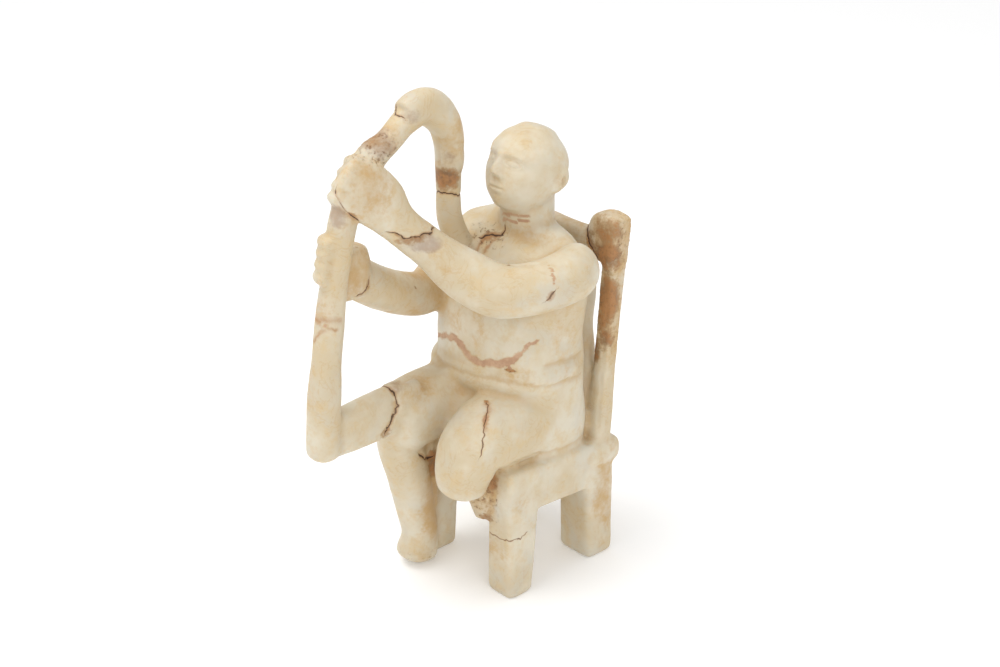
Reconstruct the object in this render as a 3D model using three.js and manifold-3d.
// A seated harp player: a man on a high-backed chair, holding a frame harp on his right
// thigh, all carved from one block of marble. His left lower leg is lost below the knee and
// the toes of his right foot are lost too, so both end in worn breaks.
//
// Millimetres, +Z up. The man faces -Y and his left is +X. The shapes are drawn about the
// middle of the chair on the ground, and the finished stone is then moved so that its origin
// is at the bottom centre of its bounding box.

import * as THREE from "three";
import { mergeVertices } from "three/addons/utils/BufferGeometryUtils.js";
import Module from "manifold-3d";

const wasm = await Module();
wasm.setup();

// ---- driving dimensions ----

const CHAIR = {
  width: 84, // over the legs
  front: -40, // front face of the front legs
  back: 42, // back face of the back legs
  seatTop: 81, // at the front edge
  seatDrop: 5, // how much lower the back edge is
  railDepth: 29,
  overhang: 8, // half the depth of the rounded ledge behind the seat
  postX: 36,
  postFootY: 34.5,
  postRadius: 5.2,
  postLean: 9, // how far back the posts lean at the top
  blockTop: 213, // of the corner blocks
  railTop: 200,
};

const BODY = {
  waistHalf: 43.5,
  waistDeep: 31,
  waistX: -2,
  waistY: 0,
  neckRadius: 15,
  headCentre: [0, 9, 238],
  headTilt: THREE.MathUtils.degToRad(24), // the crown leans back
};

const HARP = {
  x: -22, // the plane of the frame
  radius: 7.4, // of the pillar
};

// ---- shape makers ----

const SIDE = new THREE.Vector3(1, 0, 0);

// Turns a geometry into a manifold-3d solid, whichever way its faces were wound.
function solid(geometry) {
  const bare = geometry.clone();
  bare.deleteAttribute("normal");
  bare.deleteAttribute("uv");
  const merged = mergeVertices(bare, 1e-4);
  const made = new wasm.Manifold(
    new wasm.Mesh({
      numProp: 3,
      vertProperties: merged.attributes.position.array,
      triVerts: new Uint32Array(merged.index.array),
    }),
  );
  if (made.volume() <= 0) throw new Error("a piece is empty or inside out");
  return made;
}

function joined(solids) {
  return solids.reduce((whole, piece) => whole.add(piece));
}

// A point on a cross-section of half-width 1: boxy 2 is an ellipse, and more is squarer.
function sectionPoint(turn, boxy) {
  const c = Math.cos(turn);
  const s = Math.sin(turn);
  const power = 2 / boxy;
  return [Math.sign(c) * Math.abs(c) ** power, Math.sign(s) * Math.abs(s) ** power];
}

// A closed skin over cross-sections strung along a smooth line. Each station is
// { at: [x, y, z], w, d, boxy }: w is its half-width along side and d its half-depth
// across it. startDome and endDome round the ends off by that length.
function limb(stations, { sides = 14, steps = 3, side = SIDE, startDome = 0, endDome = 0 } = {}) {
  const line = new THREE.CatmullRomCurve3(stations.map((s) => new THREE.Vector3(...s.at)));
  const sizes = new THREE.CatmullRomCurve3(
    stations.map((s) => new THREE.Vector3(s.w, s.d ?? s.w, s.boxy ?? 2)),
  );
  const count = (stations.length - 1) * steps;
  const rings = [];
  const addRing = (t, push, shrink) => {
    const centre = line.getPoint(t);
    const size = sizes.getPoint(t);
    const along = line.getTangent(t);
    const depth = new THREE.Vector3().crossVectors(along, side).normalize();
    const width = new THREE.Vector3().crossVectors(depth, along).normalize();
    rings.push({ centre: centre.addScaledVector(along, push), width, depth, size, shrink });
  };
  const domeRings = Math.min(startDome, endDome) > 5 || Math.max(startDome, endDome) > 9 ? 3 : 2;
  for (let i = domeRings; startDome && i > 0; i--) {
    const lift = (i / (domeRings + 0.35)) * (Math.PI / 2);
    addRing(0, -startDome * Math.sin(lift), Math.cos(lift));
  }
  for (let i = 0; i <= count; i++) addRing(i / count, 0, 1);
  for (let i = 1; endDome && i <= domeRings; i++) {
    const lift = (i / (domeRings + 0.35)) * (Math.PI / 2);
    addRing(1, endDome * Math.sin(lift), Math.cos(lift));
  }

  const positions = [];
  for (const { centre, width, depth, size, shrink } of rings) {
    for (let k = 0; k < sides; k++) {
      const [u, v] = sectionPoint(((k + 0.5) / sides) * 2 * Math.PI, size.z);
      const p = centre
        .clone()
        .addScaledVector(width, u * size.x * shrink)
        .addScaledVector(depth, v * size.y * shrink);
      positions.push(p.x, p.y, p.z);
    }
  }
  const index = [];
  const last = rings.length - 1;
  for (let r = 0; r < last; r++) {
    for (let k = 0; k < sides; k++) {
      const a = r * sides + k;
      const b = r * sides + ((k + 1) % sides);
      index.push(a, b, b + sides, a, b + sides, a + sides);
    }
  }
  const startTip = rings[0].centre.clone();
  const endTip = rings[last].centre.clone();
  positions.push(...startTip.toArray(), ...endTip.toArray());
  const start = rings.length * sides;
  for (let k = 0; k < sides; k++) {
    const next = (k + 1) % sides;
    index.push(start, next, k);
    index.push(start + 1, last * sides + k, last * sides + next);
  }
  const geometry = new THREE.BufferGeometry();
  geometry.setAttribute("position", new THREE.Float32BufferAttribute(positions, 3));
  geometry.setIndex(index);
  return solid(geometry);
}

const at = (x, y, z, w, d = w, boxy = 2) => ({ at: [x, y, z], w, d, boxy });

// ---- the chair ----

function seat() {
  const half = CHAIR.width / 2;
  const length = CHAIR.back - CHAIR.front;
  const corner = 5;
  const bevel = 2.5;
  const outline = new THREE.Shape();
  const x = half - bevel;
  const y0 = bevel;
  const y1 = length - bevel;
  outline.moveTo(-x + corner, y0);
  outline.lineTo(x - corner, y0);
  outline.absarc(x - corner, y0 + corner, corner, -Math.PI / 2, 0);
  outline.lineTo(x, y1 - corner);
  outline.absarc(x - corner, y1 - corner, corner, 0, Math.PI / 2);
  outline.lineTo(-x + corner, y1);
  outline.absarc(-x + corner, y1 - corner, corner, Math.PI / 2, Math.PI);
  outline.lineTo(-x, y0 + corner);
  outline.absarc(-x + corner, y0 + corner, corner, Math.PI, (Math.PI * 3) / 2);
  const slab = new THREE.ExtrudeGeometry(outline, {
    depth: CHAIR.railDepth - 2 * bevel,
    bevelThickness: bevel,
    bevelSize: bevel,
    bevelSegments: 2,
    curveSegments: 2,
  });
  slab.translate(0, 0, -CHAIR.railDepth + bevel);
  slab.rotateX(-Math.atan2(CHAIR.seatDrop, length));
  slab.translate(0, CHAIR.front, CHAIR.seatTop);
  return solid(slab);
}

// The rounded ledge that the seat ends in behind the posts.
function seatLedge() {
  const z = CHAIR.seatTop - CHAIR.seatDrop - 8.5;
  const y = CHAIR.back - 3;
  const half = CHAIR.width / 2 - 2;
  const deep = CHAIR.overhang;
  const stations = [
    at(-half, y, z, deep - 1, 7, 3),
    at(0, y + 1.5, z, deep, 8, 3),
    at(half, y, z, deep - 0.5, 8, 3),
  ];
  const side = new THREE.Vector3(0, 1, 0);
  return limb(stations, { sides: 12, steps: 1, side, startDome: 3.5, endDome: 4 });
}

// A leg between two corners on the ground, a little fuller under the seat.
function leg(x0, x1, y0, y1, fuller) {
  const x = (x0 + x1) / 2;
  const y = (y0 + y1) / 2;
  const w = Math.abs(x1 - x0) / 2;
  const d = Math.abs(y1 - y0) / 2;
  const top = CHAIR.seatTop - CHAIR.railDepth + 12;
  return limb(
    [
      at(x, y, 0, w - 1.2, d - 1.2, 4),
      at(x, y, 2.5, w, d, 4.5),
      at(x, y + Math.sign(-y) * fuller, top, w - 0.3, d + fuller, 5),
    ],
    { sides: 12, steps: 1 },
  );
}

function legs() {
  const half = CHAIR.width / 2;
  const { front, back } = CHAIR;
  return [
    leg(22.5, half + 0.5, front - 1.2, front + 17, 3),
    leg(-half, -25.5, front, front + 19, 2.5),
    leg(17, half + 0.3, back - 20, back + 0.5, 1),
    leg(-half, -19.5, back - 20, back + 0.3, 1),
  ];
}

// The back: two leaning posts, a top rail that rises into a block at each corner, and a hoop
// between the posts that stands just behind the man.
function chairBack() {
  const { postX, postRadius: r, postFootY: footY, postLean: lean } = CHAIR;
  const footZ = CHAIR.seatTop - 9;
  const blockZ = 181; // underside of the corner blocks
  const topY = footY + lean;
  const across = new THREE.Vector3(0, 0, 1);
  const pieces = [];
  for (const s of [-1, 1]) {
    pieces.push(
      limb(
        [
          at(s * postX, footY - 1, footZ, r + 0.5, r + 1.5, 3),
          at(s * postX, footY + 0.45 * lean, 128, r, r, 3),
          at(s * postX, topY - 0.5, blockZ - 4, r, r + 0.3, 3),
        ],
        { sides: 12, steps: 2 },
      ),
      // The neck of stone that still joins the post to its corner block.
      limb(
        [
          at(s * (postX - 1), topY, blockZ - 8, r - 1, r - 1),
          at(s * (postX - 3), topY, blockZ + 4, r, r - 1),
        ],
        { sides: 8, steps: 1 },
      ),
      limb(
        [
          at(s * (postX - 15), topY - 1, CHAIR.railTop - 9, 9, 6, 3),
          at(s * (postX - 9), topY - 1, CHAIR.railTop - 6, 12.5, 7, 3.6),
          at(s * (postX - 3), topY - 1.5, CHAIR.blockTop - 16.5, 16.5, 7.2, 4),
          at(s * (postX + 4), topY - 1.5, CHAIR.blockTop - 17, 16, 7.2, 4.2),
          at(s * (postX + 6.5), topY - 1.5, CHAIR.blockTop - 17.5, 14, 6, 4),
        ],
        { sides: 14, steps: 1, side: across },
      ),
    );
  }
  const railZ = CHAIR.railTop - 9;
  const railHalf = postX - 8;
  pieces.push(
    limb(
      [
        at(-railHalf, topY - 1.5, railZ, 9, 5.5, 3),
        at(0, topY - 2.5, railZ, 8.5, 5.5, 3),
        at(railHalf, topY - 1.5, railZ, 9, 5.5, 3),
      ],
      { sides: 12, steps: 1, side: across },
    ),
  );
  const arch = [];
  const upright = [
    [27, 0, footZ, 7],
    [25, 1, 100, 6],
    [21, 2.5, 122, 5.5],
    [17.5, 4.5, 142, 5],
    [17.5, 6.5, 162, 5],
    [12, 8, 180, 5],
  ];
  for (const s of [1, -1]) {
    const side = upright.map(([x, y, z, w]) => at(s * x, footY + y, z, 5.5, w, 2.6));
    arch.push(...(s > 0 ? side : side.reverse()));
    if (s > 0) arch.push(at(0, footY + 9, 188, 5.5, 5, 2.6));
  }
  pieces.push(limb(arch, { sides: 10, steps: 1, side: new THREE.Vector3(0, 1, 0) }));
  return pieces;
}

// ---- the man ----

function torso() {
  const { waistHalf: w, waistDeep: d, waistX: x, waistY: y } = BODY;
  return limb(
    [
      at(0, y + 3, 74, 39, 30, 2.8),
      at(0, y + 2, 92, 41.5, 31, 2.9),
      at(x, y, 112, w, d, 2.9),
      at(x, y, 130, w, d, 2.9),
      at(x, y, 150, w, d - 1, 2.8),
      at(-1, y + 4, 172, w + 1, d - 4, 2.7),
      at(-0.5, y + 7.5, 189, w + 3, d - 8.5, 2.6),
      at(0.5, y + 11, 200, 40, d - 15.5, 2.3),
      at(1, y + 11, 208, 26, d - 21, 2),
    ],
    { sides: 24, steps: 1, endDome: 3 },
  );
}

// The low fold of the belly over the lap, highest on his left hip.
function bellyFold() {
  const { waistHalf, waistDeep, waistX, waistY } = BODY;
  const stations = [];
  const from = -0.06 * Math.PI;
  const to = 1.08 * Math.PI;
  const count = 8;
  for (let i = 0; i < count; i++) {
    const turn = from + ((to - from) * i) / (count - 1);
    const [u, v] = sectionPoint(turn, 2.9);
    const z = 125 - 2 * Math.sin(turn) + 6 * Math.cos(turn);
    const out = 1.5 - 1.5 * Math.cos(turn);
    const foldX = waistX + (waistHalf - 2.5 + out) * u;
    const foldY = waistY - (waistDeep - 3.5 + out) * v;
    stations.push(at(foldX, foldY, z, 7.5, 4.5));
  }
  const side = new THREE.Vector3(0, 0, 1);
  return limb(stations, { sides: 8, steps: 2, side, startDome: 4, endDome: 4 });
}

function neckAndHead() {
  const [hx, hy, hz] = BODY.headCentre;
  const tilt = BODY.headTilt;
  const neckY = BODY.waistY + 11;
  const r = BODY.neckRadius;
  // Places on the head are given along its own axes and then tilted.
  const onHead = (x, forward, up, w, d, boxy) =>
    at(
      hx + x,
      hy - forward * Math.cos(tilt) + up * Math.sin(tilt),
      hz + forward * Math.sin(tilt) + up * Math.cos(tilt),
      w,
      d,
      boxy,
    );
  const pieces = [
    limb(
      [at(0, neckY + 1, 197, r + 7, r + 1), at(0, neckY, 207, r + 1, r), at(0, neckY, 230, r, r)],
      { sides: 14, steps: 1 },
    ),
    // The skull and jaw in one egg, fuller at the crown than at the chin.
    limb(
      [
        onHead(0, 1, -22, 11, 11),
        onHead(0, 1, -15, 17, 17.5),
        onHead(0, 0, -5, 20.5, 21),
        onHead(0, -1, 7, 21.5, 22.5),
        onHead(0, -1, 16, 17.5, 18.5),
        onHead(0, -1, 22, 10.5, 11.5),
      ],
      { sides: 18, steps: 2, startDome: 3, endDome: 3 },
    ),
    // The nose: a long low wedge.
    limb([onHead(0, 19.5, 7, 1.6, 2), onHead(0, 21.5, 0, 2.2, 2.6), onHead(0, 22.5, -6, 3, 3)], {
      sides: 8,
      steps: 1,
      startDome: 2,
      endDome: 1.5,
    }),
  ];
  for (const s of [-1, 1]) {
    const ear = [
      onHead(s * 19.5, -9, 5, 3, 3.2),
      onHead(s * 21, -8.5, 0, 3, 4),
      onHead(s * 19.5, -6, -6, 2.6, 3),
    ];
    pieces.push(limb(ear, { sides: 8, steps: 1, startDome: 2.5, endDome: 2 }));
  }
  return pieces;
}

// The pillar and the top bar of the harp, seen from the side as [y, z] places that the
// fingers also follow.
const PILLAR = new THREE.SplineCurve(
  [
    [-120, 102],
    [-118.5, 130],
    [-115.3, 155],
    [-112.3, 176],
    [-109, 195],
    [-105, 213],
    [-101, 231],
    [-93, 248],
    [-81.2, 261.2],
  ].map((p) => new THREE.Vector2(...p)),
);

// Fingers that leave the palm on one side of the pillar and turn over its front. From and to
// are places along the pillar, and s is the side the palm lies on.
function fingers(s, from, to, count, radius) {
  const pieces = [];
  for (let i = 0; i < count; i++) {
    const t = from + ((to - from) * i) / (count - 1);
    const spot = PILLAR.getPoint(t);
    const along = PILLAR.getTangent(t);
    const out = HARP.radius + radius - 2.2;
    // A ring of stations around the pillar, in the plane square to it.
    const around = [-0.1, 0.25, 0.55, 0.8].map((turn) => {
      const angle = turn * Math.PI;
      const side = s * Math.cos(angle) * out;
      const ahead = Math.sin(angle) * out;
      return at(HARP.x + side, spot.x - ahead * along.y, spot.y + ahead * along.x, radius, radius);
    });
    const side = new THREE.Vector3(0, along.x, along.y);
    pieces.push(limb(around, { sides: 6, steps: 1, side, endDome: 1.5 }));
  }
  return pieces;
}

function leftArm() {
  const arm = limb(
    [
      at(39, 12, 190, 13, 15),
      at(43, 0, 190, 14.5, 15),
      at(37, -19, 187, 14, 14.5),
      at(24, -35, 186.5, 13.5, 15),
      at(9, -47, 196, 12, 14),
      at(-2.5, -59.5, 210.5, 10, 11),
      at(-8.5, -73.5, 225.5, 8.5, 11),
      at(-11.5, -84, 240, 7, 15),
      at(-13, -95, 251, 6.5, 15.5),
      at(-14.5, -103.5, 258, 4.5, 12),
    ],
    { sides: 12, steps: 2, startDome: 6, endDome: 4 },
  );
  return [arm, ...fingers(1, 0.94, 0.82, 4, 3.3)];
}

function rightArm() {
  const arm = limb(
    [
      at(-37, 12, 187, 13, 14.5),
      at(-43, 2, 182, 14, 14.5),
      at(-44, -14, 168, 13, 13.5),
      at(-41, -29, 162.5, 12.5, 13),
      at(-38, -46, 167, 11.5, 12.5),
      at(-36, -61, 174.5, 11, 12),
      at(-34, -76, 184, 9.5, 12),
      at(-33, -88, 193, 8, 12),
    ],
    { sides: 12, steps: 2, startDome: 6, endDome: 3 },
  );
  const palm = limb(
    [
      at(-31, -93, 184, 8, 12, 3),
      at(-31, -92.5, 197, 9, 13.5, 3.2),
      at(-31, -92.5, 209, 8, 11.5, 3),
    ],
    { sides: 12, steps: 1, startDome: 2, endDome: 3 },
  );
  return [arm, palm, ...fingers(-1, 0.672, 0.54, 4, 3.4)];
}

function legsOfMan() {
  const rightThigh = limb(
    [
      at(-20, 4, 99, 21, 20, 2.4),
      at(-23, -20, 101, 20.5, 20.5, 2.4),
      at(-26, -42, 101, 19.5, 20, 2.3),
      at(-26.5, -60, 99, 17.5, 19.5, 2.6),
    ],
    { sides: 14, steps: 2, endDome: 14 },
  );
  const rightShin = limb(
    [
      at(-27.5, -61, 98, 13, 13),
      at(-28, -60.5, 82, 13.5, 13.5),
      at(-28, -55.5, 60, 12.5, 12.5),
      at(-27.5, -51, 36, 11.5, 11.5),
      at(-27, -48.5, 18, 10.5, 11),
      at(-26.5, -51.5, 7.4, 10.8, 12, 2.3),
    ],
    { sides: 14, steps: 2, startDome: 6, endDome: 7 },
  );
  const leftLeg = limb(
    [
      at(20, 6, 99, 21.5, 21, 2.6),
      at(21, -18, 100, 21, 21, 2.6),
      at(21, -38, 99, 20.5, 20, 2.5),
      at(20.5, -50, 94, 18.5, 17, 2.4),
      at(20, -55.5, 83, 16.5, 15, 2.4),
      at(19, -56.5, 72, 13.5, 13, 2.3),
    ],
    { sides: 14, steps: 2, endDome: 6 },
  );
  // The flesh of the lap closes the valley between the thighs near the belly.
  const lap = limb([at(0, 0, 103, 18, 14), at(0, -26, 101, 15, 13), at(0, -38, 93, 11, 11)], {
    sides: 10,
    steps: 1,
    endDome: 8,
  });
  // The right knee laps round the end of the soundbox.
  const kneeLap = limb([at(-20, -56, 109, 8, 15), at(-19, -67, 110.5, 6.5, 13)], {
    sides: 10,
    steps: 1,
    endDome: 8,
  });
  // The stone left between the right calf and the front of the chair.
  const web = limb(
    [at(-27, -47, 88, 9, 8, 2.6), at(-27, -45, 60, 8, 6, 2.6), at(-27, -42, 34, 7, 5, 2.6)],
    { sides: 8, steps: 1 },
  );
  return [rightThigh, rightShin, leftLeg, lap, kneeLap, web];
}

// The rough scar on the front of the seat where the lost calf was joined to it.
function calfScar() {
  return limb(
    [at(15, -40, 78, 14, 5, 3), at(17, -41, 62, 11, 5, 3), at(20, -40, 47, 6.5, 4.5, 2.6)],
    { sides: 10, steps: 1, endDome: 2 },
  );
}

// ---- the harp ----

function harp() {
  const x = HARP.x;
  const r = HARP.radius;
  const pillarStations = PILLAR.points.map((p, i) => {
    const thick = [1.9, 1.5, 0.5, 0.2, 0, 0, 0.3, 0.2, 0.7][i];
    return at(x, p.x, p.y, r + thick, r + thick, i < 4 ? 2.3 : 2.1);
  });
  const frame = limb(
    [
      ...pillarStations,
      at(x, -69, 267.5, r - 0.3, r - 0.4),
      at(x, -57, 275.5, r, r),
      at(x, -44, 280, r + 1, r + 2),
      at(x, -32, 271, r + 1, r + 2),
      at(x, -28, 255, r, r),
      at(x, -27.5, 235, r - 0.3, r - 0.3),
      at(x, -27, 213, r - 0.3, r - 0.3),
      at(x, -19, 194, r, r),
    ],
    { sides: 12, steps: 1, startDome: 6 },
  );
  const soundbox = limb(
    [at(x, -124, 107, r, 10, 2.8), at(x, -104, 109, r + 0.3, 13.5, 2.8), at(x, -64, 110, r, 16, 2.6)],
    { sides: 12, steps: 1, startDome: 4 },
  );
  // The cap of the frame, which turns over its top and lies down along the back arm.
  const cap = limb(
    [
      at(x, -57, 277.8, r + 1, r + 2),
      at(x, -49.5, 281, r + 1.4, r + 2),
      at(x, -40.5, 279.2, r + 1.5, r + 3.1),
      at(x + 0.5, -30.5, 268.5, r + 1.6, r + 2),
      at(x + 1.5, -26.5, 254, r + 0.6, 7),
      at(x + 2.2, -26, 241, 5.5, 5),
    ],
    { sides: 10, steps: 2, endDome: 3 },
  );
  return [frame, soundbox, cap];
}

// ---- the whole stone ----

const stone = joined([
  seat(),
  seatLedge(),
  ...legs(),
  ...chairBack(),
  torso(),
  bellyFold(),
  ...neckAndHead(),
  ...leftArm(),
  ...rightArm(),
  ...legsOfMan(),
  calfScar(),
  ...harp(),
]);

const mesh = stone.getMesh();
const geometry = new THREE.BufferGeometry();
geometry.setAttribute("position", new THREE.BufferAttribute(mesh.vertProperties, 3));
geometry.setIndex(new THREE.BufferAttribute(mesh.triVerts, 1));
geometry.computeVertexNormals();
geometry.computeBoundingBox();

const marble = new THREE.MeshStandardMaterial({ color: 0xd9c9a3, roughness: 0.55, metalness: 0 });
const player = new THREE.Mesh(geometry, marble);
player.name = "harp_player";
const middle = geometry.boundingBox.getCenter(new THREE.Vector3());
player.position.set(-middle.x, -middle.y, 0);

const part = new THREE.Group();
part.add(player);

export default part;
